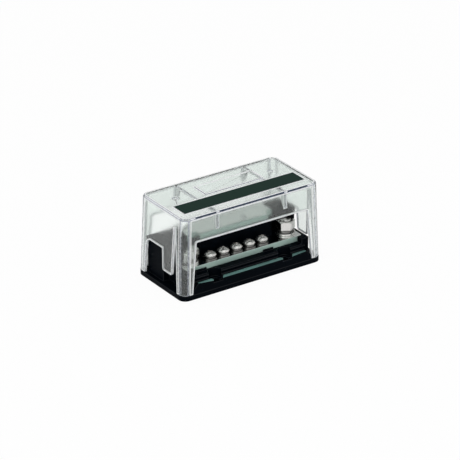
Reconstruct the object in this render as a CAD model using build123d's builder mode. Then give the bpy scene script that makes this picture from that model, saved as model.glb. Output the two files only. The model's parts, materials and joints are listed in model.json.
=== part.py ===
"""Covered bus bar: moulded base, stepped tinned bar, terminal screws, studs and a clear cover.

Millimetres. Origin at the centre of the base's underside, +X along the bar, +Y to the rear, +Z up.
"""
import os
from math import sqrt

from build123d import *

os.makedirs("parts", exist_ok=True)

# Outline that the base plate and the cover share; the length follows from the row of screws
width = 61.0
height = 64.5
corner_radius = 5.9
end_lean = 2.2          # each end leans in by this much over the height
side_lean = 1.55        # the front and the rear lean in by this much over the height

# Clearances
cover_gap = 0.3         # between the lifting cover and whatever stands still
bore_gap = 0.05         # radial clearance of a shank in the bar's bore
washer_gap = 0.25       # radial clearance of a shank in a washer
stack_gap = 0.1         # between pieces of a stack that move apart
rest_gap = 0.3          # under the washers that rise with a nut

# Cover
cover_wall = 2.1
top_edge_chamfer = 0.9
window_top = 44.6
window_top_inset = 13.05    # from the end of the plate to the side of a window, at its top edge
window_foot_inset = 9.15    # and where it meets the plate
window_corner = 1.0
end_cut_rear_foot = 21.3    # rear edge of the end opening where it meets the plate
end_cut_rear_top = 19.0
end_cut_top = 32.4
end_cut_radius = 5.5
tongue_rear = -1.3          # the tongue that hangs between the end opening and the slot
tongue_front = -14.6
tongue_taper = 1.0          # the tongue's rear edge leans by this much over its height
tongue_foot = 15.5
tongue_radius = 2.0
slot_top = 54.0
slot_top_front = -17.7
slot_top_rear = -16.6
slot_foot_front = -22.0
rib_inset = 32.0            # ribs under the top, and the gussets where they meet the walls
rib_thickness = 1.2
rib_depth = 1.6
gusset_drop = 11.0
gusset_reach = 3.6
gusset_tip_radius = 1.2
boss_inset = 19.8           # small round bosses under the top
boss_y = 9.0
boss_radius = 1.9
boss_depth = 1.2

# Label strip and raised panel on the cover's top
label_inset = 9.1           # from the end of the plate to the label, at both ends
label_width = 14.8
label_x = 0.5
label_y = -11.6
label_thickness = 0.3
label_recess = 0.2
panel_length = 51.0
panel_width = 15.8
panel_x = 4.2
panel_y = 7.8
panel_height = 0.3

# Base moulding
plate_height = 3.8
skirt_height = 12.0
skirt_end_height = 7.5
skirt_end_radius = 3.5
skirt_thickness = 2.1
ledge_height = 9.6
plinth_inset = 9.0          # from the end of the plate to the end of the plinth
plinth_setback = 4.8        # from the edge of the plate to the plinth's front and rear faces
seat_height = 15.8
block_setback = 8.5         # from the plate's rear edge to the raised block
block_height = 33.0
block_inset = 3.8           # the block reaches nearly to the cover's end walls
block_wide_step = 1.6       # this far behind the web
well_inset = 31.1
well_setback = 4.2
well_radius = 5.6
well_floor = 9.0
mount_hole_radius = 2.6
rim_thickness = 1.4         # thin rims beside the ends of the bar
rim_height = 4.8            # above the bar seat
end_block_length = 6.2      # blocks in front of the ends of the bar
end_block_height = 4.4
hook_width = 9.0
hook_height = 1.9
hook_thickness = 1.0
hook_places = (-39.2, 20.0)
ridge_height = 0.7          # moulded lines along the plinth's front
ridge_margin = 1.3          # from the lines to the top and the foot of that face
ridge_inset = 4.0           # from their ends to the ends of the plinth
alcove_inner_reach = 11.0   # from a stud's axis to the sides of its alcove
alcove_outer_reach = 7.6
alcove_step = 0.8           # the alcove's back lies this far behind the web
tower_reach = 5.0           # from a stud's axis inwards
tower_depth = 9.8
tower_rise = 5.0            # above the raised block
tower_edge_radius = 1.2
barrier_offset = 6.5        # from the screw row to the barrier
barrier_thickness = 2.3
barrier_corner = 1.5
trough_margin = 3.0         # of the trough under the bar, past the first and last screw
web_cheek = 1.5             # wall between an alcove and the bar's web

# Bar
bar_end_gap = 0.4           # to the rims at its ends
bar_thickness = 4.4
bar_front_reach = 5.9       # from the screw row to the bar's front and rear edges
bar_rear_reach = 5.6
bar_corner = 1.2
web_offset = 9.0            # from the screw row to the web
bend_radius = 1.5
upper_inset = 25.0          # from the end of the plate to the raised flange
upper_setback = 4.0         # from the raised block's rear face

# Terminal screws
screw_count = 5
washer_spacing = 1.7        # between neighbouring clamp washers
first_screw_spacing = 3.6   # between the left stud's washer and the first clamp washer
last_screw_spacing = 11.8   # between the last clamp washer and the right stud's washer
row_setback = 16.5          # from the plate's front edge to the row of screws
screw_radius = 2.5
head_radius = 4.6
head_height = 3.7
head_crown = 1.5            # height of the sloping part of the head
head_flat = 2.9             # radius of its flat top
screw_reach = 7.2           # shank below the washer
clamp_washer_radius = 4.9
clamp_washer_thickness = 2.1
trough_depth = 10.4         # clear space below the bar for the shanks

# Studs
stud_inset = 19.0           # from the end of the plate to the stud's axis
stud_setback = 20.7         # from the plate's front edge to that axis
stud_radius = 4.0
stud_rise = 2.0             # above the nut
stud_head_flats = 13.0
stud_head_height = 5.0
flat_washer_radius = 7.4
flat_washer_thickness = 1.6
spring_washer_radius = 6.8
spring_washer_thickness = 2.3
spring_washer_split = 1.0
nut_flats = 13.0
nut_height = 6.5
nut_chamfer = 0.8

# Places along the part that follow from the ones above
screw_pitch = 2 * clamp_washer_radius + washer_spacing
first_screw_reach = flat_washer_radius + clamp_washer_radius + first_screw_spacing
last_screw_reach = flat_washer_radius + clamp_washer_radius + last_screw_spacing
stud_span = first_screw_reach + (screw_count - 1) * screw_pitch + last_screw_reach
length = stud_span + 2 * stud_inset
half_length = length / 2
half_width = width / 2
plinth_half_length = half_length - plinth_inset
block_half_length = half_length - block_inset
window_top_half = half_length - window_top_inset
window_foot_half = half_length - window_foot_inset
label_length = length - 2 * label_inset
rim_inner = plinth_half_length - rim_thickness
bar_half_length = rim_inner - bar_end_gap
upper_half_length = half_length - upper_inset
stud_x = half_length - stud_inset
stud_sides = {"left": -stud_x, "right": stud_x}
alcove_inner = stud_x - alcove_inner_reach
alcove_outer = stud_x + alcove_outer_reach
web_half_length = alcove_inner - web_cheek
screw_xs = [first_screw_reach - stud_x + i * screw_pitch for i in range(screw_count)]

# Places across it
row_y = row_setback - half_width
stud_y = stud_setback - half_width
plinth_front = half_width - plinth_setback
bar_front = row_y - bar_front_reach
bar_rear = row_y + bar_rear_reach
barrier_face = row_y + barrier_offset
web_front = row_y + web_offset
web_rear = web_front + bar_thickness
alcove_back = web_rear + alcove_step
block_wide_front = web_rear + block_wide_step
block_rear = half_width - block_setback
upper_rear = block_rear - upper_setback
tower_rear = alcove_back + tower_depth

# Heights
cover_foot = plate_height + cover_gap
bar_top = seat_height + bar_thickness
rim_top = seat_height + rim_height
upper_top = block_height + bar_thickness
tower_height = block_height + tower_rise
clamp_washer_top = bar_top + clamp_washer_thickness
head_top = clamp_washer_top + head_height
spring_washer_foot = bar_top + flat_washer_thickness + rest_gap
nut_foot = spring_washer_foot + spring_washer_thickness + stack_gap
nut_top = nut_foot + nut_height
stud_top = nut_top + stud_rise
nut_corner = nut_flats / sqrt(3) + 0.3      # just past the corners of the hexagon


def outline(z, inset=0.0):
    """Length and width of the leaning outline at height z, moved in by inset."""
    lean = z / height
    return (length - 2 * end_lean * lean - 2 * inset, width - 2 * side_lean * lean - 2 * inset)


def upright_plane(x, y):
    """The XZ plane moved to an upright axis, for a half profile to revolve."""
    return Plane(origin=(x, y, 0), x_dir=(1, 0, 0), z_dir=(0, -1, 0))


def save(part, name):
    """Label a finished piece and write its file."""
    part.label = name
    export_step(part, f"parts/{name}.step")


def window_half(z):
    """Half width of the front window at height z."""
    share = (z - plate_height) / (window_top - plate_height)
    return window_foot_half + (window_top_half - window_foot_half) * share


def block(x0, x1, y0, y1, z0, z1, mode=Mode.ADD):
    """A box between two corners, in the current part."""
    with Locations(((x0 + x1) / 2, (y0 + y1) / 2, z0)):
        Box(x1 - x0, y1 - y0, z1 - z0, align=(Align.CENTER, Align.CENTER, Align.MIN), mode=mode)


def mirrored_blocks(x0, x1, y0, y1, z0, z1, mode=Mode.ADD):
    """The same box at both ends of the part."""
    block(x0, x1, y0, y1, z0, z1, mode)
    block(-x1, -x0, y0, y1, z0, z1, mode)


# Base: plate, ledge, plinth and the raised block at the rear
with BuildPart() as base:
    with BuildSketch():
        RectangleRounded(length, width, corner_radius)
    extrude(amount=plate_height)
    ledge_half_width = outline(skirt_height, cover_wall + cover_gap)[1] / 2
    block(-plinth_half_length, plinth_half_length, -ledge_half_width, ledge_half_width, 0, ledge_height)
    block(-plinth_half_length, plinth_half_length, -plinth_front, plinth_front, 0, seat_height)
    block(-plinth_half_length, plinth_half_length, web_rear, block_rear, 0, block_height)
    block(-block_half_length, block_half_length, block_wide_front, block_rear, 0, block_height)
    mirrored_blocks(web_half_length, alcove_inner, barrier_face + barrier_thickness, web_rear,
                    seat_height, block_height)

    # Towers and the posts that close the alcoves
    mirrored_blocks(alcove_outer, plinth_half_length, barrier_face, tower_rear, seat_height, tower_height)
    mirrored_blocks(stud_x - tower_reach, plinth_half_length, alcove_back, tower_rear,
                    seat_height, tower_height)
    mirrored_blocks(alcove_inner, alcove_outer, web_rear - 1, alcove_back, bar_top, tower_height + 1,
                    mode=Mode.SUBTRACT)
    top_edges = base.edges().filter_by(Axis.X).group_by(Axis.Z)[-1]
    fillet(top_edges, tower_edge_radius)

    # Rims beside the bar, blocks before its ends and the hooks over its front edge
    mirrored_blocks(rim_inner, plinth_half_length, -plinth_front, barrier_face, seat_height, rim_top)
    mirrored_blocks(plinth_half_length - end_block_length, plinth_half_length, -plinth_front,
                    bar_front - bore_gap, seat_height, seat_height + end_block_height)
    for x in hook_places:
        block(x - hook_width / 2, x + hook_width / 2, bar_front - bore_gap - hook_thickness,
              bar_front - bore_gap, seat_height, seat_height + hook_height)
    for z in (ledge_height + ridge_margin, seat_height - ridge_margin - ridge_height):
        block(ridge_inset - plinth_half_length, plinth_half_length - ridge_inset,
              -plinth_front - ridge_height, -plinth_front, z, z + ridge_height)

    # Front and rear skirts between the legs of the cover
    with BuildSketch(Plane.XZ) as skirt:
        with BuildLine():
            half_foot = window_half(plate_height) - cover_gap
            half_end = window_half(skirt_end_height) - cover_gap
            half_rim = half_end - skirt_end_radius
            Polyline((-half_foot, 0), (-half_end, skirt_end_height), (-half_rim, skirt_height),
                     (half_rim, skirt_height), (half_end, skirt_end_height), (half_foot, 0), close=True)
        make_face()
        fillet(skirt.vertices().group_by(Axis.Y)[-1], skirt_end_radius)
    skirt_face = outline(skirt_height / 2)[1] / 2
    for side in (-1, 1):
        with BuildSketch(Plane.XZ.offset(-side * skirt_face)):
            add(skirt.sketch)
        extrude(amount=side * skirt_thickness)

    # Mounting wells, open to the skirt's rim, and their screw holes
    with BuildSketch(Plane.XY.offset(well_floor)):
        with GridLocations(length - 2 * well_inset, width - 2 * well_setback, 2, 2):
            Circle(well_radius)
    extrude(amount=bar_top - well_floor, mode=Mode.SUBTRACT)
    with GridLocations(length - 2 * well_inset, width - 2 * well_setback, 2, 2):
        Hole(mount_hole_radius)

    # A trough below the bar for the shanks, and pockets for the heads of the studs
    trough_reach = screw_radius + 2 * washer_gap
    block(screw_xs[0] - trough_margin, screw_xs[-1] + trough_margin, row_y - trough_reach,
          row_y + trough_reach, seat_height - trough_depth, seat_height, mode=Mode.SUBTRACT)
    with BuildSketch(Plane.XY.offset(seat_height - stud_head_height)):
        with Locations([(x, stud_y) for x in stud_sides.values()]):
            RegularPolygon(stud_head_flats / 2, 6, major_radius=False, rotation=30)
    extrude(amount=stud_head_height, mode=Mode.SUBTRACT)
save(base.part, "base")

# Bar: a low front flange, a web behind the barrier and a raised rear flange
with BuildPart() as bus_bar:
    with BuildSketch(Plane.YZ) as step_profile:
        with BuildLine():
            Polyline((bar_front, seat_height), (web_rear, seat_height), (web_rear, block_height),
                     (upper_rear, block_height), (upper_rear, upper_top), (web_front, upper_top),
                     (web_front, bar_top), (bar_front, bar_top), close=True)
        make_face()
        bends = step_profile.vertices().filter_by(
            lambda v: (v.X, v.Y) != (bar_front, seat_height) and v.Y in (bar_top, upper_top)
            and web_front - 0.1 < v.X < web_rear)
        fillet(bends, bend_radius)
    extrude(amount=web_half_length, both=True)
    block(-bar_half_length, bar_half_length, bar_front, bar_rear, seat_height, bar_top)
    mirrored_blocks(alcove_inner + bore_gap, alcove_outer - bore_gap, bar_front, web_rear,
                    seat_height, bar_top)
    block(-upper_half_length, upper_half_length, alcove_back, upper_rear, block_height, upper_top)
    front_corners = bus_bar.edges().filter_by(Axis.Z).group_by(Axis.Y)[0]
    chamfer(front_corners, bar_corner)
    with Locations([(x, row_y, bar_top) for x in screw_xs]):
        Hole(screw_radius + bore_gap, depth=bar_thickness)
    with Locations([(x, stud_y, bar_top) for x in stud_sides.values()]):
        Hole(stud_radius + bore_gap, depth=bar_thickness)
save(bus_bar.part, "bus_bar")

# Barrier panel between the screw row and the web
with BuildPart() as barrier:
    with BuildSketch(Plane.XZ.offset(-barrier_face)) as barrier_face_sketch:
        with Locations((0, (bar_top + block_height) / 2)):
            Rectangle(2 * alcove_inner, block_height - bar_top)
        fillet(barrier_face_sketch.vertices().group_by(Axis.Y)[-1], barrier_corner)
    extrude(amount=-barrier_thickness)
    rear_foot = barrier.edges().filter_by(Axis.X).group_by(Axis.Z)[0].sort_by(Axis.Y)[-1]
    chamfer(rear_foot, bend_radius + bore_gap)
save(barrier.part, "barrier")

# Terminal screws and their captive washers
for number, x in enumerate(screw_xs, start=1):
    with BuildPart() as screw:
        with BuildSketch(upright_plane(x, row_y)):
            with BuildLine():
                Polyline((0, clamp_washer_top - screw_reach), (screw_radius, clamp_washer_top - screw_reach),
                         (screw_radius, clamp_washer_top), (head_radius, clamp_washer_top),
                         (head_radius, head_top - head_crown), (head_flat, head_top), (0, head_top),
                         close=True)
            make_face()
        revolve(axis=Axis((x, row_y, 0), (0, 0, 1)))
    save(screw.part, f"terminal_screw_{number}")

    with BuildPart() as clamp_washer:
        with BuildSketch(Plane.XY.offset(bar_top)):
            with Locations((x, row_y)):
                Circle(clamp_washer_radius)
                Circle(screw_radius + washer_gap, mode=Mode.SUBTRACT)
        extrude(amount=clamp_washer_thickness)
    save(clamp_washer.part, f"clamp_washer_{number}")


def ring(x, z, radius, thickness):
    """A plain washer for the stud at x, with its foot at z."""
    with BuildPart() as washer:
        with BuildSketch(Plane.XY.offset(z)):
            with Locations((x, stud_y)):
                Circle(radius)
                Circle(stud_radius + washer_gap, mode=Mode.SUBTRACT)
        extrude(amount=thickness)
    return washer.part


# Studs, their washers and nuts
for side, x in stud_sides.items():
    with BuildPart() as stud:
        with BuildSketch(Plane.XY.offset(seat_height - stud_head_height)):
            with Locations((x, stud_y)):
                RegularPolygon(stud_head_flats / 2 - bore_gap, 6, major_radius=False, rotation=30)
        extrude(amount=stud_head_height)
        with BuildSketch(Plane.XY.offset(seat_height)):
            with Locations((x, stud_y)):
                Circle(stud_radius)
        extrude(amount=stud_top - seat_height)
        chamfer(stud.faces().sort_by(Axis.Z)[-1].edges(), 0.6)
    save(stud.part, f"stud_{side}")

    save(ring(x, bar_top, flat_washer_radius, flat_washer_thickness), f"flat_washer_{side}")

    with BuildPart() as spring_washer:
        add(ring(x, spring_washer_foot, spring_washer_radius, spring_washer_thickness))
        block(x + stud_radius, x + spring_washer_radius + 1, stud_y - spring_washer_split / 2,
              stud_y + spring_washer_split / 2, spring_washer_foot, nut_foot, mode=Mode.SUBTRACT)
    save(spring_washer.part, f"spring_washer_{side}")

    with BuildPart() as nut:
        with BuildSketch(Plane.XY.offset(nut_foot)):
            with Locations((x, stud_y)):
                RegularPolygon(nut_flats / 2, 6, major_radius=False, rotation=30)
        extrude(amount=nut_height)
        with BuildSketch(upright_plane(x, stud_y)):
            with BuildLine():
                Polyline((0, nut_foot), (nut_corner, nut_foot), (nut_corner, nut_top - nut_chamfer),
                         (nut_flats / 2, nut_top), (0, nut_top), close=True)
            make_face()
        revolve(axis=Axis((x, stud_y, 0), (0, 0, 1)), mode=Mode.INTERSECT)
        with Locations((x, stud_y, nut_top)):
            Hole(stud_radius + bore_gap, depth=nut_height)
    save(nut.part, f"stud_nut_{side}")

# Cover: leaning shell with windows front and rear and shaped openings in the ends
with BuildPart() as cover:
    for z, inset in ((cover_foot, 0), (height - top_edge_chamfer, 0), (height, top_edge_chamfer)):
        with BuildSketch(Plane.XY.offset(z)):
            RectangleRounded(*outline(z, inset), corner_radius - inset)
    loft(ruled=True)
    for z in (cover_foot, height - cover_wall):
        with BuildSketch(Plane.XY.offset(z)):
            RectangleRounded(*outline(z, cover_wall), corner_radius - cover_wall)
    loft(ruled=True, mode=Mode.SUBTRACT)

    # Windows
    with BuildSketch(Plane.XZ) as window:
        with BuildLine():
            foot_half = window_half(0)
            Polyline((-foot_half, 0), (-window_top_half, window_top), (window_top_half, window_top),
                     (foot_half, 0), close=True)
        make_face()
        fillet(window.vertices().group_by(Axis.Y)[-1], window_corner)
    extrude(amount=width, both=True, mode=Mode.SUBTRACT)

    # End openings with the hanging tongue and the tapered slot
    with BuildSketch(Plane.YZ) as end_cut:
        with BuildLine():
            Polyline((end_cut_rear_foot, 0), (end_cut_rear_top, end_cut_top), (tongue_rear, end_cut_top),
                     (tongue_rear - tongue_taper, tongue_foot), (tongue_front, tongue_foot),
                     (slot_top_rear, slot_top), (slot_top_front, slot_top), (slot_foot_front, 0), close=True)
        make_face()
        fillet(end_cut.vertices().group_by(Axis.Y)[-2].sort_by(Axis.X)[-1], end_cut_radius)
        fillet(end_cut.vertices().filter_by(lambda v: abs(v.Y - tongue_foot) < 0.1), tongue_radius)
    extrude(amount=length, both=True, mode=Mode.SUBTRACT)

    # Ribs under the top with a gusset at the front and at the rear wall
    rib_root = height - cover_wall + 0.6
    rib_foot = height - cover_wall - rib_depth
    gusset_foot = height - cover_wall - gusset_drop
    wall_mid = outline(gusset_foot, cover_wall / 2)[1] / 2 - 0.4
    for x in (rib_inset - half_length, half_length - rib_inset):
        with BuildSketch(Plane.YZ.offset(x)) as rib:
            with BuildLine():
                Polyline((-wall_mid, rib_root), (wall_mid, rib_root), (wall_mid, gusset_foot),
                         (wall_mid - gusset_reach, gusset_foot), (wall_mid - 2 * gusset_reach, rib_foot),
                         (-wall_mid + 2 * gusset_reach, rib_foot), (-wall_mid + gusset_reach, gusset_foot),
                         (-wall_mid, gusset_foot), close=True)
            make_face()
            tips = rib.vertices().filter_by(
                lambda v: abs(v.Y - gusset_foot) < 0.1 and abs(v.X) < wall_mid - 1)
            fillet(tips, gusset_tip_radius)
        extrude(amount=rib_thickness / 2, both=True)
    with BuildSketch(Plane.XY.offset(height - cover_wall - boss_depth)):
        with Locations((boss_inset - half_length, boss_y), (half_length - boss_inset, boss_y)):
            Circle(boss_radius)
    extrude(amount=boss_depth + 0.5)

    # Raised panel and the recess that holds the label strip
    with BuildSketch(Plane.XY.offset(height)):
        with Locations((panel_x, panel_y)):
            RectangleRounded(panel_length, panel_width, 1.0)
    extrude(amount=panel_height)
    with BuildSketch(Plane.XY.offset(height)):
        with Locations((label_x, label_y)):
            Rectangle(label_length + 2 * bore_gap, label_width + 2 * bore_gap)
    extrude(amount=-label_recess, mode=Mode.SUBTRACT)
save(cover.part, "cover")

# Label strip in its recess
with BuildPart() as label_strip:
    with BuildSketch(Plane.XY.offset(height - label_recess)):
        with Locations((label_x, label_y)):
            Rectangle(label_length, label_width)
    extrude(amount=label_thickness)
save(label_strip.part, "label_strip")
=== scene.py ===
"""Looks of the covered bus bar: its finishes, threads and rounded edges around the fixed frame."""

import json
import math

import bmesh
import bpy
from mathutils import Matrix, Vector


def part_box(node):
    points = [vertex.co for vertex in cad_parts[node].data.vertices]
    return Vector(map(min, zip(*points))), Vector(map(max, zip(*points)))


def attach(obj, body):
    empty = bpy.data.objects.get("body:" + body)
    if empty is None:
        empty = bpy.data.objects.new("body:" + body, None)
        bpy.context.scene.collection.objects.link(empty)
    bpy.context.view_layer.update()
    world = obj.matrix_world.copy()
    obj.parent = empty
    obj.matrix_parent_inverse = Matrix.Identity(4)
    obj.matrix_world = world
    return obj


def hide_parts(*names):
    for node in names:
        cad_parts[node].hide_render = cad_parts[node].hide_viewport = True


bl_info = {
    "name": "Covered bus bar",
    "version": (1, 0, 0),
    "blender": (4, 5, 0),
    "location": "3D View > Sidebar > Bus bar",
    "description": "Dresses the frame of a covered bus bar with its finishes and fine detail",
    "category": "Object",
}

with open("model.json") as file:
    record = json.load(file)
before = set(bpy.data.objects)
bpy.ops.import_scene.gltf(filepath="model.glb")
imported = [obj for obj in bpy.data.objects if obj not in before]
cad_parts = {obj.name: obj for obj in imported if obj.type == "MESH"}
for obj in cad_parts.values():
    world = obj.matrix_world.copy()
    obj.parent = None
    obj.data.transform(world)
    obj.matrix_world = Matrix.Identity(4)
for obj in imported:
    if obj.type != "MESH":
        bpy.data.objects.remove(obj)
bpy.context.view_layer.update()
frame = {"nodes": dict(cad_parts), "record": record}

MM = 0.001
SIDES = ("left", "right")
SCREW_NUMBERS = (1, 2, 3, 4, 5)


def size_of(node):
    """Length, depth and height of a node at rest, in metres."""
    low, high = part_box(node)
    return high - low


def middle_of(node):
    """The middle of a node's box at rest, in metres."""
    low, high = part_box(node)
    return (low + high) / 2


def length_property(name, description, default):
    """A length in metres that the panel shows in the scene's own unit."""
    return bpy.props.FloatProperty(name=name, description=description, default=default, min=0,
                                   unit="LENGTH", precision=5)


def share_property(name, description, default):
    """A number from nought to one."""
    return bpy.props.FloatProperty(name=name, description=description, default=default, min=0, max=1,
                                   subtype="FACTOR")


def colour_property(name, description, default):
    """A colour as linear light."""
    return bpy.props.FloatVectorProperty(name=name, description=description, default=default, min=0,
                                         max=1, size=3, subtype="COLOR")


class BusBarEdges(bpy.types.PropertyGroup):
    """How far the edges of the moulded and cut pieces are rounded."""
    moulding: length_property("Moulding", "Rounding of the black moulding's edges", 0.3 * MM)
    cover: length_property("Cover", "Rounding of the cover's cut edges", 0.35 * MM)
    # width of the rim that carries the cover's painted highlight
    cover_rim: length_property("Cover rim", "Width of the pale rim beside those edges", 0.8 * MM)
    metal: length_property("Metal", "Rounding of the bar's and the nuts' edges", 0.25 * MM)


class BusBarThreads(bpy.types.PropertyGroup):
    """Threads and recesses of the fasteners."""
    screw_pitch: length_property("Screw pitch", "Pitch of the terminal screws", 0.8 * MM)
    stud_pitch: length_property("Stud pitch", "Pitch of the studs and nuts", 1.25 * MM)
    depth: length_property("Thread depth", "Depth of a thread below the crest", 0.45 * MM)
    screw_radius: length_property("Screw radius", "Shank radius of the terminal screws", 2.5 * MM)
    washer_bore: length_property("Washer bore", "Bore radius of the washers under the screws", 2.75 * MM)
    stud_radius: length_property("Stud radius", "Radius of the studs", 4.0 * MM)
    stud_head: length_property("Stud head", "Height of the hexagon at a stud's foot", 5.0 * MM)
    stud_end: length_property("Stud end", "Height of a stud above its nut", 0.8 * MM)
    slot_width: length_property("Slot width", "Width of the recess in a screw's head", 1.2 * MM)
    slot_depth: length_property("Slot depth", "Depth of the recess in a screw's head", 1.3 * MM)


class BusBarColours(bpy.types.PropertyGroup):
    """Colours of the finishes, some of them painted highlights, reflections and shade."""
    black: colour_property("Moulding", "Black of the moulded base", (0.0006, 0.0014, 0.0026))
    # painted highlight: the colour standing in for light on the skirts' tops
    sheen: colour_property("Sheen", "Light caught by the skirts' top edges", (0.13, 0.27, 0.25))
    tin: colour_property("Tin", "Tin plating of the bar", (0.80, 0.83, 0.81))
    # painted reflection of the greenish cover in the bar's front and rear faces
    sawn: colour_property("Sawn faces", "Duller faces at the bar's front and rear", (0.38, 0.52, 0.47))
    steel: colour_property("Steel", "Bright plating of the screws and nuts", (0.74, 0.73, 0.71))
    clear: colour_property("Clear plastic", "Tint of the cover", (0.955, 1.0, 0.976))
    # painted shade lines along the cover's edges
    edge_line: colour_property("Edge lines", "Fine lines along the cover's edges", (0.55, 0.58, 0.66))
    # painted dark line standing in for the dark inside refracted through the cover's front top edge
    top_line: colour_property("Top line", "Line on the cover's front top edge", (0.003, 0.010, 0.035))
    label: colour_property("Label", "Dark green of the label strip", (0.003, 0.021, 0.014))


class BusBarStage(bpy.types.PropertyGroup):
    """Camera, lamps and floor."""
    azimuth: bpy.props.FloatProperty(name="Azimuth", description="Camera's turn from straight ahead",
                                     default=math.radians(-34.36), subtype="ANGLE")
    elevation: bpy.props.FloatProperty(name="Elevation", description="Camera's height angle",
                                       default=math.radians(25.733), subtype="ANGLE")
    distance: length_property("Distance", "Camera's distance from the part", 2.1959)
    lens: bpy.props.FloatProperty(name="Lens", description="Focal length on a 36 mm sensor",
                                  default=232.9, unit="CAMERA")
    aim_height: length_property("Aim height", "Height of the point that the camera looks at", 30.0 * MM)
    sky: share_property("Sky", "Strength of the even light from all round", 0.75)


class Value:
    """A shader socket that takes part in Python's arithmetic by adding Math nodes."""

    def __init__(self, tree, socket):
        self.tree = tree
        self.socket = socket

    def maths(self, operation, *others):
        """A Math node on this value and the others, in the order given."""
        return self.tree.node("ShaderNodeMath", {"operation": operation}, *others)

    def __add__(self, other):
        return self.maths("ADD", self, other)

    def __radd__(self, other):
        return self.maths("ADD", other, self)

    def __sub__(self, other):
        return self.maths("SUBTRACT", self, other)

    def __rsub__(self, other):
        return self.maths("SUBTRACT", other, self)

    def __mul__(self, other):
        return self.maths("MULTIPLY", self, other)

    def __rmul__(self, other):
        return self.maths("MULTIPLY", other, self)

    def __truediv__(self, other):
        return self.maths("DIVIDE", self, other)

    def __neg__(self):
        return self.maths("MULTIPLY", self, -1.0)

    def __abs__(self):
        return self.maths("ABSOLUTE", self)

    def __gt__(self, other):
        return self.maths("GREATER_THAN", self, other)

    def largest(self, other):
        """The larger of this value and the other."""
        return self.maths("MAXIMUM", self, other)

    def smallest(self, other):
        """The smaller of this value and the other."""
        return self.maths("MINIMUM", self, other)

    def function(self, operation):
        """A function of this value alone, such as its sine."""
        return self.maths(operation, self)


class Tree:
    """A material's or a world's node tree, with one method that adds any node."""

    def __init__(self, owner):
        self.world = isinstance(owner, bpy.types.World)
        owner.use_nodes = True
        self.nodes = owner.node_tree.nodes
        self.links = owner.node_tree.links
        self.nodes.clear()

    def put(self, socket, value):
        """Link or set one input socket."""
        if isinstance(value, Value):
            self.links.new(value.socket, socket)
        else:
            socket.default_value = value

    def node(self, kind, settings=None, *inputs, output=0, **named):
        """A node with its settings made first, then its sockets by place or by name."""
        made = self.nodes.new(kind)
        for name, setting in (settings or {}).items():
            setattr(made, name, setting)
        for index, value in enumerate(inputs):
            self.put(made.inputs[index], value)
        for name, value in named.items():
            self.put(made.inputs[name.replace("_", " ")], value)
        self.last = made
        return Value(self, made.outputs[output])

    def parts(self, vector):
        """The three numbers of a vector."""
        self.node("ShaderNodeSeparateXYZ", None, vector)
        return tuple(Value(self, number) for number in self.last.outputs)

    def place(self):
        """The point on the piece, in its own frame."""
        return self.node("ShaderNodeTexCoord", output=3)

    def facing(self):
        """The direction that the surface faces, in the piece's own frame."""
        return self.node("ShaderNodeTexCoord", output=1)

    def noise(self, scale, detail=3.0, roughness=0.5):
        """Fine noise over the piece, with its scale in features per metre."""
        return self.node("ShaderNodeTexNoise", Vector=self.place(), Scale=scale, Detail=detail,
                         Roughness=roughness)

    def colours(self, share, first, second):
        """A colour between two, by a share."""
        self.node("ShaderNodeMix", {"data_type": "RGBA"})
        mix = self.last
        self.put(mix.inputs[0], share)
        for socket, colour in ((mix.inputs[6], first), (mix.inputs[7], second)):
            self.put(socket, colour if isinstance(colour, Value) else (*colour, 1))
        return Value(self, mix.outputs[2])

    def bump(self, height, strength, distance):
        """A normal that follows a height."""
        return self.node("ShaderNodeBump", None, Strength=strength, Distance=distance, Height=height)

    def surface(self, shader):
        """Send a shader to the output."""
        kind = "ShaderNodeOutputWorld" if self.world else "ShaderNodeOutputMaterial"
        self.put(self.nodes.new(kind).inputs["Surface"], shader)

    def principled(self, **sockets):
        """Send a principled shader with these sockets to the output."""
        self.surface(self.node("ShaderNodeBsdfPrincipled", None, **sockets))


def scaled(colour, share, lift=0.0):
    """A colour times a share, lifted evenly by a little."""
    return tuple(lift + share * part for part in colour)


def moulded_black(colours):
    """Black moulding with the faint bloom and fine grain of a spark-eroded mould."""
    material = bpy.data.materials.new("moulded_black")
    tree = Tree(material)
    grain = tree.noise(2600, 2.0, 0.6)
    bloom = tree.noise(45, 3.0, 0.5)
    paler = scaled(colours.black, 2.0, 0.0002)
    tree.principled(
        Base_Color=tree.colours(bloom, colours.black, paler),
        Roughness=0.34 + bloom * 0.14,
        Normal=tree.bump(grain, 0.12, 0.05 * MM),
        Specular_IOR_Level=0.015,
    )
    return material


def black_edge(colours):
    """Rounded edges of the black moulding, a little glossier, and painted paler as a painted highlight
    where they catch the light.
    """
    material = bpy.data.materials.new("black_edge")
    tree = Tree(material)
    edge_sheen = tree.noise(160, 3.0, 0.6)
    # painted highlight: the edges' colour is made paler than the black
    painted_light = scaled(colours.black, 3.0, 0.003)
    tree.principled(
        Base_Color=tree.colours(edge_sheen, colours.black, painted_light),
        Roughness=0.26 + edge_sheen * 0.16,
        Specular_IOR_Level=0.14,
    )
    return material


def skirt_sheen(colours):
    """Painted highlight on the top of the base's skirts: a dull sea green colour standing in for the
    light that catches it.
    """
    material = bpy.data.materials.new("skirt_sheen")
    tree = Tree(material)
    edge_sheen = tree.noise(35, 3.0, 0.55)
    tree.principled(
        Base_Color=tree.colours(edge_sheen, colours.sheen, scaled(colours.sheen, 0.35)),
        Roughness=0.30 + edge_sheen * 0.20,
        Specular_IOR_Level=0.2,
    )
    return material


REFLECTION_FACING = 0.7               # a face that looks this much to the front or rear gets the painted reflection
HANDLED_END = 46.5 * MM         # distance from the middle past which the bar's top is dulled by handling


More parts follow.
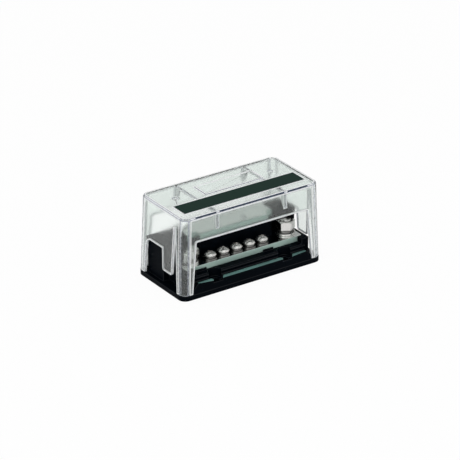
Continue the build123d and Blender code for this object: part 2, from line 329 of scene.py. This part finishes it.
def drawn_tin(colours):
    """Tin plate: bright, a little cloudy, drawn along X, duller where handled, and on its front and rear
    faces a dull sea green painted reflection of the greenish cover.
    """
    material = bpy.data.materials.new("drawn_tin")
    tree = Tree(material)
    stretched = tree.node("ShaderNodeMapping", None, Vector=tree.place(), Scale=(18, 900, 900))
    drawn = tree.node("ShaderNodeTexNoise", None, Vector=stretched, Scale=1.0, Detail=3.0)
    cloud = tree.noise(120, 3.0, 0.55)
    duller = scaled(colours.tin, 0.86)
    front = abs(tree.parts(tree.facing())[1]) > REFLECTION_FACING
    handled = (abs(tree.parts(tree.place())[0]) > HANDLED_END) * (1.0 - front)
    # front and rear faces: painted reflection colour, less metal and rougher
    tree.principled(
        Base_Color=tree.colours(front, tree.colours(cloud, colours.tin, duller), colours.sawn),
        Metallic=1.0 - front * 0.75 - handled * 0.55,
        Roughness=0.03 + cloud * 0.07 + front * 0.45 + handled * 0.32,
        Normal=tree.bump(drawn, 0.06, 0.02 * MM),
    )
    return material


def bright_plating(colours):
    """Bright plated steel with a few dull spots."""
    material = bpy.data.materials.new("bright_plating")
    tree = Tree(material)
    spots = tree.noise(900, 3.0, 0.6)
    duller = scaled(colours.steel, 0.80)
    tree.principled(
        Base_Color=tree.colours(spots, colours.steel, duller),
        Metallic=1.0,
        Roughness=0.10 + spots * 0.12,
        Normal=tree.bump(spots, 0.05, 0.02 * MM),
    )
    return material


def screw_plating(colours):
    """The brushed, slightly cloudy plating of the screws' heads."""
    material = bpy.data.materials.new("screw_plating")
    tree = Tree(material)
    cloud = tree.noise(700, 3.0, 0.6)
    tree.principled(
        Base_Color=tree.colours(cloud, colours.steel, scaled(colours.steel, 0.75)),
        Metallic=0.86 + cloud * 0.10,
        Roughness=0.12 + cloud * 0.14,
        Normal=tree.bump(cloud, 0.06, 0.02 * MM),
    )
    return material


def painted_dark_plating(colours):
    """The duller plating of the washers, its colour darkened as a painted reflection of the dark
    surroundings that they mirror.
    """
    material = bpy.data.materials.new("painted_dark_plating")
    tree = Tree(material)
    rubbed = tree.noise(500, 3.0, 0.6)
    # painted reflection: the steel's colour darkened to the dark that the washers mirror
    grey = scaled(colours.steel, 0.30)
    tree.principled(
        Base_Color=tree.colours(rubbed, grey, scaled(grey, 0.6)),
        Metallic=1.0,
        Roughness=0.16 + rubbed * 0.14,
        Normal=tree.bump(rubbed, 0.08, 0.02 * MM),
    )
    return material


def clear_moulding(colours):
    """Clear plastic with a finely frosted, slightly streaky face, so that what lies behind it blurs."""
    material = bpy.data.materials.new("clear_moulding")
    tree = Tree(material)
    frost = tree.noise(1400, 2.0, 0.5)
    haze = tree.noise(55, 2.0, 0.5)
    greyer = scaled(colours.clear, 0.93)
    tree.principled(
        Base_Color=tree.colours(haze, greyer, colours.clear),
        Roughness=0.11 + haze * 0.13,
        Normal=tree.bump(frost, 0.05, 0.03 * MM),
        Transmission_Weight=0.96,
        IOR=1.34,
    )
    return material


# where the painted dark line on the cover's front top edge lies
LINE_HEIGHT = 63.6 * MM
LINE_DEPTH = 28.1 * MM          # the line's least distance in front of the middle
LINE_REACH = 49.5 * MM
RIB_PLACE = 30.0 * MM
RIB_GAP = 1.4 * MM


def front_line(tree):
    """One on the front top edge of the cover, between its corners and its ribs, where a painted dark
    line stands in for the dark inside refracted through that edge.
    """
    x, y, z = tree.parts(tree.place())
    along = abs(x)
    off_rib = abs(along - RIB_PLACE) > RIB_GAP
    return (z > LINE_HEIGHT) * (-y > LINE_DEPTH) * (LINE_REACH - along > 0.0) * off_rib


def clear_edge(colours):
    """The cover's rounded and cut edges, which gather light: a painted highlight, nearly opaque and
    paler than its faces, with the painted dark line on the front top edge.
    """
    material = bpy.data.materials.new("clear_edge")
    tree = Tree(material)
    frost = tree.noise(150, 2.0, 0.5)
    # painted highlight colours of the cover's edges
    pale = scaled(colours.clear, 0.5, 0.5)
    tree.principled(
        Base_Color=tree.colours(front_line(tree), tree.colours(frost, pale, (0.97, 0.98, 0.99)),
                                colours.top_line),
        Roughness=0.22 + frost * 0.15,
        Transmission_Weight=0.12,
        IOR=1.45,
    )
    return material


def edge_shade(colours):
    """Painted shade: the fine darker lines where the cover's faces turn into its edges, with the painted
    dark line on the front top edge.
    """
    material = bpy.data.materials.new("edge_shade")
    tree = Tree(material)
    streak = tree.noise(300, 2.0, 0.5)
    darker = scaled(colours.edge_line, 0.80)
    tree.principled(
        Base_Color=tree.colours(front_line(tree), tree.colours(streak, colours.edge_line, darker),
                                colours.top_line),
        Roughness=0.20 + streak * 0.15,
        Transmission_Weight=0.55,
        IOR=1.34,
    )
    return material


def label_green(colours):
    """Printed dark green film with a satin laminate."""
    material = bpy.data.materials.new("label_green")
    tree = Tree(material)
    mottle = tree.noise(700, 3.0, 0.6)
    paler = scaled(colours.label, 1.15, 0.002)
    tree.principled(
        Base_Color=tree.colours(mottle, colours.label, paler),
        Roughness=0.42 + mottle * 0.10,
        Normal=tree.bump(mottle, 0.05, 0.02 * MM),
        Specular_IOR_Level=0.06,
    )
    return material


MATERIAL_MAKERS = {
    "black_plastic": moulded_black,
    "tinned_metal": drawn_tin,
    "plated_steel": bright_plating,
    "clear_plastic": clear_moulding,
    "green_label": label_green,
}
PLAIN, PAINTED_HIGHLIGHT, ROUNDED = range(3)  # places of a piece's finishes: faces, painted highlights on cut edges and skirt tops, rounded edges
EDGE_MAKERS = {                 # finishes for the second and third of those places, which paint highlights and shade
    "black_plastic": (skirt_sheen, black_edge),
    "clear_plastic": (clear_edge, edge_shade),
}


def finish(slot_name):
    """The material of one of the record's slots, made the first time it is asked for."""
    return made_by(MATERIAL_MAKERS[slot_name])


def made_by(maker):
    """The material of one maker, made once."""
    return bpy.data.materials.get(maker.__name__) or maker(bpy.context.scene.bus_bar_colours)


def paint(thing, slot_name):
    """Give a piece or a node the finish of a slot, and its edges theirs."""
    materials = thing.data.materials
    while len(materials) > 1:
        materials.pop()
    if not materials:
        materials.append(None)
    materials[0] = finish(slot_name)
    for maker in EDGE_MAKERS.get(slot_name, ()):
        materials.append(made_by(maker))


def body_of_node(node):
    """The body that carries a node."""
    bodies = frame["record"]["behaviour"]["bodies"]
    return next(body for body, members in bodies.items() if node in members)


def stand_for(piece, node):
    """Let a piece ride with a node's body in its place."""
    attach(piece, body_of_node(node))
    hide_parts(node)
    return piece


SHARP_ANGLE = math.radians(38)  # an edge of a moulded or cut piece that turns more than this is rounded
SMOOTH_ANGLE = math.radians(32)  # an edge of a grown piece that turns less than this is shaded smooth
FLAT_ANGLE = math.radians(0.6)  # faces that differ by less than this are joined
FRAME_GRAIN = 0.002 * MM        # corners of the frame closer than this are one
GROWN_GRAIN = 0.004 * MM        # corners of a grown piece closer than this are one


def new_piece(name, shell, all_smooth=True):
    """A new object in the scene from a bmesh, shaded smooth between gentle faces or as its faces say."""
    mesh = bpy.data.meshes.new(name)
    shell.to_mesh(mesh)
    shell.free()
    if all_smooth:
        mesh.shade_smooth()
        mesh.set_sharp_from_angle(angle=SMOOTH_ANGLE)
    piece = bpy.data.objects.new(name, mesh)
    bpy.context.scene.collection.objects.link(piece)
    return piece


CURVED_SHARE = 0.55             # share of a face's outline that is soft where the face is a curved strip


def flatten_walls(shell):
    """Shade a face flat unless soft edges make up most of its outline, as they do on a curved strip."""
    for face in shell.faces:
        soft = sum(edge.calc_length() for edge in face.edges
                   if edge.is_manifold and edge.calc_face_angle(0) < SHARP_ANGLE)
        face.smooth = soft > CURVED_SHARE * face.calc_perimeter()


WALL_AREA = 150 * MM * MM       # a face larger than this is a wall
STRIP = 2.2 * MM                # a flat face narrower than this is a cut edge of the cover
SEAM_ANGLE = 0.01               # radians
SEAM_LENGTH = 3.5 * MM
UPRIGHT = 0.2                   # most that an upright face looks up or down
CORNER_TURN = (0.10, 0.30)      # smaller share of a level normal in the first part of a corner's turn, which gets the painted shade lines


def strip_width(face):
    """About how wide a long thin face is."""
    return 2 * face.calc_area() / face.calc_perimeter()


def seams_in(shell):
    """The long edges inside a flat wall, there only because a mesh face can't have a hole."""
    return {edge for edge in shell.edges if edge.is_manifold and edge.calc_length() > SEAM_LENGTH
            and edge.calc_face_angle() < SEAM_ANGLE}


def rim_the_walls(shell, width):
    """Give the large walls a rim beside their rounded edges in the painted highlight finish, the narrow
    cut strips the same, and the first part of each corner's turn the painted shade lines.
    """
    seams = seams_in(shell)
    walls = [face for face in shell.faces if face.calc_area() > WALL_AREA]
    beside = {face for edge in seams for face in edge.link_faces} - set(walls)
    rims = bmesh.ops.inset_individual(shell, faces=walls, thickness=width, use_even_offset=True)["faces"]
    beside.update(face for face in rims if any(edge in seams for edge in face.edges))
    # rims and cut strips get the painted highlight
    painted_light = [face for face in rims if face not in beside
            and any(near.material_index for edge in face.edges for near in edge.link_faces)]
    for face in painted_light:
        face.material_index = PAINTED_HIGHLIGHT
    for face in shell.faces:
        if not face.smooth and face not in beside and strip_width(face) < STRIP:
            face.material_index = PAINTED_HIGHLIGHT
    # painted shade lines on the first part of each corner's turn
    least, most = CORNER_TURN
    for face in shell.faces:
        turning = least < min(abs(face.normal.x), abs(face.normal.y)) < most
        plain = face.material_index == PLAIN and face.calc_area() < WALL_AREA
        if turning and plain and face.smooth and abs(face.normal.z) < UPRIGHT:
            face.material_index = ROUNDED


SKIRT_TOP = 12.0 * MM
SKIRT_FACE = 30.0 * MM          # distance of the skirts' outer faces from the middle, at least
SKIRT_BACK = 28.0 * MM
SKIRT_RUN = 8.0 * MM
SKIRT_SLACK = 0.1 * MM
LEVEL = 0.9                     # least that a level face looks up
CREST_ROUNDING = 1.2 * MM


def at_skirt_top(point, depth):
    """Whether a point lies at the skirts' top, further than a depth from the middle."""
    return abs(point.z - SKIRT_TOP) < SKIRT_SLACK and abs(point.y) > depth


def wear_skirts(shell):
    """Round the outer top edges of the base's skirts and give them and the tops the painted highlight
    finish.
    """
    crests = [edge for edge in shell.edges if edge.calc_length() > SKIRT_RUN
              and all(at_skirt_top(corner.co, SKIRT_FACE) for corner in edge.verts)]
    painted_light = bmesh.ops.bevel(shell, geom=crests, offset=CREST_ROUNDING, offset_type="OFFSET",
                           segments=4, profile=0.5, affect="EDGES", clamp_overlap=False)
    for face in painted_light["faces"]:
        face.smooth = True
        face.material_index = PAINTED_HIGHLIGHT
    for face in shell.faces:
        if face.normal.z > LEVEL and at_skirt_top(face.calc_center_median(), SKIRT_BACK):
            face.material_index = PAINTED_HIGHLIGHT


def softened(node, name, rounding, slot_name, rim=0.0, edge_sheen=None):
    """A copy of a node whose sharp edges are rounded and given the edge finishes of its slot, which
    paint highlights and shade on them; it stands in the node's place.
    """
    shell = bmesh.new()
    shell.from_mesh(frame["nodes"][node].data)
    bmesh.ops.remove_doubles(shell, verts=shell.verts, dist=FRAME_GRAIN)
    bmesh.ops.dissolve_limit(shell, angle_limit=FLAT_ANGLE, verts=shell.verts, edges=shell.edges)
    for face in shell.faces:
        face.material_index = PLAIN
    flatten_walls(shell)
    if edge_sheen:
        edge_sheen(shell)
    sharp = [edge for edge in shell.edges
             if edge.is_manifold and edge.calc_face_angle(0) > SHARP_ANGLE]
    rounded = bmesh.ops.bevel(shell, geom=sharp, offset=rounding, offset_type="OFFSET", segments=2,
                              profile=0.5, affect="EDGES", clamp_overlap=False)
    for face in rounded["faces"]:
        face.smooth = True
        # rounded edges get a painted highlight on the moulding and painted shade lines on the cover
        face.material_index = ROUNDED if slot_name in EDGE_MAKERS else PLAIN
    if rim:
        rim_the_walls(shell, rim)
    low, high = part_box(node)
    for corner in shell.verts:
        corner.co = [min(max(value, least), most) for value, least, most in zip(corner.co, low, high)]
    bmesh.ops.triangulate(shell, faces=[face for face in shell.faces if len(face.verts) > 4])
    piece = new_piece(name, shell, all_smooth=False)
    paint(piece, slot_name)
    return stand_for(piece, node)


class Growth:
    """A Geometry Nodes tree with named inputs; its values take part in arithmetic as a shader's do."""

    def __init__(self, name):
        self.group = bpy.data.node_groups.new(name, "GeometryNodeTree")
        self.nodes = self.group.nodes
        self.links = self.group.links
        self.group.interface.new_socket("Geometry", in_out="OUTPUT", socket_type="NodeSocketGeometry")
        self.entry = self.nodes.new("NodeGroupInput")
        self.sockets = {}

    put = Tree.put
    node = Tree.node
    parts = Tree.parts

    def size(self, name, kind="NodeSocketFloat"):
        """A named input of the tree."""
        socket = self.group.interface.new_socket(name, in_out="INPUT", socket_type=kind)
        self.sockets[name] = socket.identifier
        return Value(self, self.entry.outputs[name])

    def point(self, x, y, z):
        """A vector from three numbers or values."""
        return self.node("ShaderNodeCombineXYZ", None, x, y, z)

    def moved(self, geometry, place, turn=(0.0, 0.0, 0.0)):
        """Geometry turned about the origin and then shifted."""
        return self.node("GeometryNodeTransform", None, Geometry=geometry, Translation=place,
                         Rotation=turn)

    def joined(self, *pieces):
        """Several pieces of geometry as one."""
        whole = self.node("GeometryNodeJoinGeometry")
        for piece in pieces:
            self.links.new(piece.socket, self.last.inputs[0])
        return whole

    def finished(self, geometry, material):
        """Realise and paint the geometry and send it out of the tree."""
        real = self.node("GeometryNodeRealizeInstances", None, geometry)
        painted = self.node("GeometryNodeSetMaterial", None, Geometry=real, Material=material)
        leaving = self.nodes.new("NodeGroupOutput")
        self.links.new(painted.socket, leaving.inputs["Geometry"])

    def grown(self, name, sizes):
        """A plain mesh object of the tree's result at these sizes."""
        carrier = bpy.data.objects.new(name, bpy.data.meshes.new(name))
        bpy.context.scene.collection.objects.link(carrier)
        modifier = carrier.modifiers.new("grown", "NODES")
        modifier.node_group = self.group
        for label, value in sizes.items():
            modifier[self.sockets[label]] = value
        view = bpy.context.evaluated_depsgraph_get()
        mesh = bpy.data.meshes.new_from_object(carrier.evaluated_get(view))
        carrier.modifiers.clear()
        shell = bmesh.new()
        shell.from_mesh(mesh)
        bmesh.ops.remove_doubles(shell, verts=shell.verts, dist=GROWN_GRAIN)
        bmesh.ops.recalc_face_normals(shell, faces=shell.faces)
        materials = list(mesh.materials)
        bpy.data.objects.remove(carrier)
        piece = new_piece(name, shell)
        for material in materials:
            piece.data.materials.append(material)
        return piece


THREAD_AROUND = 40              # steps around a thread
SCREW_ROWS = 74                 # rows of points along a screw's shank
STUD_ROWS = 150


def threaded_rod(tree, radius, length, pitch, depth, rows):
    """A closed rod from the origin up +Z with a right-hand thread, chamfered at both ends."""
    grid = tree.node("GeometryNodeMeshGrid", None, Size_X=1.0, Size_Y=1.0,
                     Vertices_X=THREAD_AROUND + 1, Vertices_Y=rows)
    x, y, _ = tree.parts(tree.node("GeometryNodeInputPosition"))
    turn = x + 0.5
    row = (y + 0.5) * (rows - 1)
    climb = tree.node("ShaderNodeClamp", None, (row - 1.0) * (1.0 / (rows - 3)), 0.0, 1.0)
    height = climb * length
    ridge = abs((height / pitch - turn).function("FRACT") * 2.0 - 1.0)
    end = height.smallest(length - height)
    chamfer = (radius - depth + end).smallest(radius)
    full = (radius - (1.0 - ridge) * depth).smallest(chamfer)
    inside = (row > 0.5) * ((rows - 1.5) - row > 0.0)
    bulge = full * inside
    angle = turn * math.tau
    target = tree.point(bulge * angle.function("COSINE"), bulge * angle.function("SINE"), height)
    return tree.node("GeometryNodeSetPosition", None, Geometry=grid, Position=target)


DOME_REACH = 0.88               # how nearly the dome's profile is a full quarter circle at the rim
DOME_DROP = 0.95                # share of the height by which that circle falls
HEAD_TUCK = 0.16                # share of its radius by which a head draws in at its foot
LONG_SLOT = (1.5, 0.6)          # length and width of the longer slot, in radii and slot widths


def pan_head(tree, radius, height, slot_width, slot_depth):
    """A domed head with its foot at the origin, and a slot and a cross in its crown."""
    blank = tree.node("GeometryNodeMeshCylinder", {"fill_type": "TRIANGLE_FAN"}, Vertices=48,
                      Side_Segments=6, Fill_Segments=14, Radius=radius, Depth=height)
    x, y, z = tree.parts(tree.node("GeometryNodeInputPosition"))
    out = (x * x + y * y).function("SQRT") / radius
    level = z / height + 0.5
    bow = 1.0 - (1.0 - out * out * DOME_REACH).function("SQRT")
    drop = bow * level * level * height * DOME_DROP
    foot = (1.0 - level) * (1.0 - level)
    tuck = foot * foot * HEAD_TUCK
    shaped = tree.node("GeometryNodeSetPosition", None, Geometry=blank,
                       Offset=tree.point(-x * tuck, -y * tuck, height * 0.5 - drop))
    longer, narrower = LONG_SLOT
    slots = ((radius * longer, slot_width * narrower), (slot_width, radius), (radius, slot_width))
    blocks = (tree.node("GeometryNodeMeshCube", None, Size=tree.point(length, width, slot_depth * 2.0))
              for length, width in slots)
    cutters = tree.joined(*[tree.moved(block, tree.point(0.0, 0.0, height)) for block in blocks])
    return tree.node("GeometryNodeMeshBoolean", {"operation": "DIFFERENCE", "solver": "EXACT"},
                     Mesh_1=shaped, Mesh_2=cutters, Self_Intersection=True)


def screw_tree():
    """Geometry of one terminal screw, head up, with the foot of its head at the given place."""
    tree = Growth("terminal_screw")
    radius = tree.size("Shank radius")
    reach = tree.size("Shank length")
    pitch = tree.size("Pitch")
    depth = tree.size("Thread depth")
    head = tree.size("Head radius")
    height = tree.size("Head height")
    slot_width = tree.size("Slot width")
    slot_depth = tree.size("Slot depth")
    spin = tree.size("Turn")
    place = tree.size("Place", "NodeSocketVector")
    rod = threaded_rod(tree, radius, reach, pitch, depth, SCREW_ROWS)
    shank = tree.moved(rod, tree.point(0.0, 0.0, -reach))
    whole = tree.joined(shank, pan_head(tree, head, height, slot_width, slot_depth))
    tree.finished(tree.moved(whole, place, tree.point(0.0, 0.0, spin)), made_by(screw_plating))
    return tree


HEXAGON_CORNER = 1 / math.sqrt(3)       # corner radius of a hexagon with flats one apart


def stud_tree():
    """Geometry of one stud: a threaded rod with a hexagon head at its foot."""
    tree = Growth("stud")
    radius = tree.size("Radius")
    length = tree.size("Length")
    pitch = tree.size("Pitch")
    depth = tree.size("Thread depth")
    flats = tree.size("Head flats")
    head = tree.size("Head height")
    place = tree.size("Place", "NodeSocketVector")
    rod = threaded_rod(tree, radius, length, pitch, depth, STUD_ROWS)
    prism = tree.node("GeometryNodeMeshCylinder", None, Vertices=6, Radius=flats * HEXAGON_CORNER,
                      Depth=head)
    block = tree.moved(prism, tree.point(0.0, 0.0, head * 0.5), (0.0, 0.0, math.pi / 6))
    whole = tree.joined(tree.moved(rod, tree.point(0.0, 0.0, head)), block)
    tree.finished(tree.moved(whole, place), finish("plated_steel"))
    return tree


SPRING_SHARE = 0.84             # radius of the spring washer as a share of the flat one's
WASHER_ROUNDING = 0.18 * MM


def washer_pair_tree():
    """Geometry of a flat washer with a narrower spring washer on it, its foot at the given place."""
    tree = Growth("washer_pair")
    bore = tree.size("Bore radius")
    radius = tree.size("Radius")
    height = tree.size("Height")
    place = tree.size("Place", "NodeSocketVector")
    rings = []
    for reach, foot in ((radius, 0.0), (radius * SPRING_SHARE, 0.5)):
        middle = (reach + bore) * 0.5
        path = tree.node("GeometryNodeCurvePrimitiveCircle", None, Resolution=48, Radius=middle)
        section = tree.node("GeometryNodeCurvePrimitiveQuadrilateral", None,
                            Width=reach - bore, Height=height * 0.5)
        softer = tree.node("GeometryNodeFilletCurve", {"mode": "POLY"}, Curve=section, Count=2,
                           Radius=WASHER_ROUNDING)
        ring = tree.node("GeometryNodeCurveToMesh", None, Curve=path, Profile_Curve=softer)
        rings.append(tree.moved(ring, tree.point(0.0, 0.0, height * (foot + 0.25))))
    tree.finished(tree.moved(tree.joined(*rings), place), made_by(painted_dark_plating))
    return tree


class BUSBAR_OT_base(bpy.types.Operator):
    """Round and finish the black base and its barrier"""
    bl_idname = "busbar.base"
    bl_label = "Base"

    def execute(self, context):
        rounding = context.scene.bus_bar_edges.moulding
        softened("base", "moulded_base", rounding, "black_plastic", edge_sheen=wear_skirts)
        softened("barrier", "barrier_panel", rounding, "black_plastic")
        return {"FINISHED"}


class BUSBAR_OT_bar(bpy.types.Operator):
    """Round and finish the bar"""
    bl_idname = "busbar.bar"
    bl_label = "Bar"

    def execute(self, context):
        softened("bus_bar", "stepped_bar", context.scene.bus_bar_edges.metal, "tinned_metal")
        return {"FINISHED"}


SCREW_TURNS = (0.2, 0.9, 0.55, 0.35, 0.7)       # how far each screw is turned in its hole, in radians


class BUSBAR_OT_screws(bpy.types.Operator):
    """Make the terminal screws and finish the washers under them"""
    bl_idname = "busbar.screws"
    bl_label = "Terminal screws"

    def execute(self, context):
        threads = context.scene.bus_bar_threads
        tree = screw_tree()
        pair_tree = washer_pair_tree()
        for number, turn in zip(SCREW_NUMBERS, SCREW_TURNS):
            node = f"terminal_screw_{number}"
            under = f"clamp_washer_{number}"
            low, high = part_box(node)
            foot, washer_top = (corner.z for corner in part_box(under))
            middle = middle_of(node)
            radius = size_of(node).x / 2
            height = high.z - washer_top
            screw = tree.grown(f"pan_head_screw_{number}", {
                "Shank radius": threads.screw_radius,
                "Shank length": washer_top - low.z,
                "Pitch": threads.screw_pitch,
                "Thread depth": threads.depth,
                "Head radius": radius,
                "Head height": height,
                "Slot width": threads.slot_width,
                "Slot depth": threads.slot_depth,
                "Turn": turn,
                "Place": (middle.x, middle.y, washer_top),
            })
            stand_for(screw, node)
            pair = pair_tree.grown(f"washer_pair_{number}", {
                "Bore radius": threads.washer_bore,
                "Radius": size_of(under).x / 2,
                "Height": size_of(under).z,
                "Place": (middle.x, middle.y, foot),
            })
            stand_for(pair, under)
        return {"FINISHED"}


class BUSBAR_OT_studs(bpy.types.Operator):
    """Make the threaded studs and finish their nuts and washers"""
    bl_idname = "busbar.studs"
    bl_label = "Studs"

    def execute(self, context):
        scene = context.scene
        threads = scene.bus_bar_threads
        tree = stud_tree()
        for side in SIDES:
            node = f"stud_{side}"
            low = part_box(node)[0]
            middle = middle_of(node)
            nut_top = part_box(f"stud_nut_{side}")[1].z
            stud = tree.grown(f"threaded_stud_{side}", {
                "Radius": threads.stud_radius,
                "Length": nut_top + threads.stud_end - low.z - threads.stud_head,
                "Pitch": threads.stud_pitch,
                "Thread depth": threads.depth,
                "Head flats": size_of(node).x,
                "Head height": threads.stud_head,
                "Place": (middle.x, middle.y, low.z),
            })
            stand_for(stud, node)
            for piece in ("flat_washer", "spring_washer", "stud_nut"):
                made = softened(f"{piece}_{side}", f"rounded_{piece}_{side}", scene.bus_bar_edges.metal,
                                "plated_steel")
                if piece == "spring_washer":
                    made.data.materials[0] = made_by(painted_dark_plating)
        return {"FINISHED"}


class BUSBAR_OT_cover(bpy.types.Operator):
    """Round and finish the clear cover and its label strip"""
    bl_idname = "busbar.cover"
    bl_label = "Cover"

    def execute(self, context):
        edges = context.scene.bus_bar_edges
        softened("cover", "clear_cover", edges.cover, "clear_plastic", rim=edges.cover_rim)
        paint(frame["nodes"]["label_strip"], "green_label")
        return {"FINISHED"}


SEEN_SHARE = 0.95               # how much of the floor is plain white where it is looked at
MIRRORED_SKY = 0.6              # share of the light behind the part that shows in mirroring surfaces
FLOOR_REACH = 4.0               # metres
LAMPS = (                       # name, place and size in metres, and power in watts
    ("overhead_lamp", (-0.15, -0.25, 0.9), 0.7, 1.4),
    ("side_lamp", (-0.8, -0.5, 0.5), 0.5, 0.6),
)


def seen_directly(tree):
    """Two masks: rays by which the camera sees, and rays that a mirroring surface has sent on."""
    tree.node("ShaderNodeLightPath")
    rays = tree.last.outputs
    seen = Value(tree, rays["Is Camera Ray"]).largest(Value(tree, rays["Is Transmission Ray"]))
    seen = seen.largest(Value(tree, rays["Is Glossy Ray"]))
    mirrored = Value(tree, rays["Glossy Depth"]) > 0.5
    return seen, mirrored


class BUSBAR_OT_stage(bpy.types.Operator):
    """Add the floor, the lamps and the camera"""
    bl_idname = "busbar.stage"
    bl_label = "Stage"

    def execute(self, context):
        scene = context.scene
        stage = scene.bus_bar_stage
        self.add_floor()
        self.light_world(scene, stage)
        self.add_lamps(scene, stage)
        self.add_camera(scene, stage)
        scene.view_settings.view_transform = "Standard"
        return {"FINISHED"}

    def add_floor(self):
        """A wide pale floor that keeps a soft shadow."""
        shell = bmesh.new()
        bmesh.ops.create_grid(shell, x_segments=1, y_segments=1, size=FLOOR_REACH)
        floor = new_piece("floor", shell)
        material = bpy.data.materials.new("pale_floor")
        tree = Tree(material)
        matt = tree.node("ShaderNodeBsdfDiffuse", None, Color=(0.9, 0.9, 0.9, 1))
        seen, _ = seen_directly(tree)
        light = tree.node("ShaderNodeEmission", None, Color=(1, 1, 1, 1), Strength=1.0)
        tree.surface(tree.node("ShaderNodeMixShader", None, seen * SEEN_SHARE, matt, light))
        floor.data.materials.append(material)

    def light_world(self, scene, stage):
        """Even light from all round, white where it is looked at."""
        scene.world = bpy.data.worlds.new("studio")
        tree = Tree(scene.world)
        seen, mirrored = seen_directly(tree)
        behind = tree.parts(tree.place())[1] > 0.0
        dimmer = mirrored * behind * (1.0 - MIRRORED_SKY)
        strength = (stage.sky + seen * (1.0 - stage.sky)) * (1.0 - dimmer)
        tree.surface(tree.node("ShaderNodeBackground", None, Color=(1, 1, 1, 1), Strength=strength))

    def add_lamps(self, scene, stage):
        """A broad lamp above and a weaker one at the left."""
        for name, place, size, power in LAMPS:
            light = bpy.data.lights.new(name, "AREA")
            light.size = size
            light.energy = power
            lamp = bpy.data.objects.new(name, light)
            lamp.location = place
            aim = Vector((0, 0, stage.aim_height)) - lamp.location
            lamp.rotation_euler = aim.to_track_quat("-Z", "Y").to_euler()
            scene.collection.objects.link(lamp)

    def add_camera(self, scene, stage):
        """The camera at the photograph's angle."""
        lens = bpy.data.cameras.new("camera")
        lens.lens = stage.lens
        lens.sensor_width = 36.0
        lens.clip_start = 0.1
        lens.clip_end = 20.0
        camera = bpy.data.objects.new("camera", lens)
        level = math.cos(stage.elevation)
        back = Vector((math.sin(stage.azimuth) * level, -math.cos(stage.azimuth) * level,
                       math.sin(stage.elevation)))
        aim = Vector((0, 0, stage.aim_height))
        camera.location = aim + back * stage.distance
        camera.rotation_euler = (-back).to_track_quat("-Z", "Y").to_euler()
        scene.collection.objects.link(camera)
        scene.camera = camera


class BUSBAR_PT_panel(bpy.types.Panel):
    """Sizes, colours and steps of the covered bus bar"""
    bl_label = "Bus bar"
    bl_idname = "BUSBAR_PT_panel"
    bl_space_type = "VIEW_3D"
    bl_region_type = "UI"
    bl_category = "Bus bar"

    def draw(self, context):
        layout = self.layout
        for name in PROPERTY_GROUPS:
            group = getattr(context.scene, name)
            box = layout.box()
            for prop in group.bl_rna.properties:
                if prop.identifier not in {"rna_type", "name"}:
                    box.prop(group, prop.identifier)
        for step in STEPS:
            layout.operator(step.bl_idname)


PROPERTY_GROUPS = {
    "bus_bar_edges": BusBarEdges,
    "bus_bar_threads": BusBarThreads,
    "bus_bar_colours": BusBarColours,
    "bus_bar_stage": BusBarStage,
}
STEPS = (BUSBAR_OT_base, BUSBAR_OT_bar, BUSBAR_OT_screws, BUSBAR_OT_studs, BUSBAR_OT_cover,
         BUSBAR_OT_stage)


def register():
    """Add the groups of properties, the steps and the panel."""
    for group in PROPERTY_GROUPS.values():
        bpy.utils.register_class(group)
    for step in (*STEPS, BUSBAR_PT_panel):
        bpy.utils.register_class(step)
    for name, group in PROPERTY_GROUPS.items():
        setattr(bpy.types.Scene, name, bpy.props.PointerProperty(type=group))


def unregister():
    """Take them out again."""
    for name in PROPERTY_GROUPS:
        delattr(bpy.types.Scene, name)
    for step in (BUSBAR_PT_panel, *reversed(STEPS)):
        bpy.utils.unregister_class(step)
    for group in PROPERTY_GROUPS.values():
        bpy.utils.unregister_class(group)


def main():
    """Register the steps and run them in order."""
    register()
    bpy.ops.busbar.base()
    bpy.ops.busbar.bar()
    bpy.ops.busbar.screws()
    bpy.ops.busbar.studs()
    bpy.ops.busbar.cover()
    bpy.ops.busbar.stage()


if __name__ == "__main__":
    main()
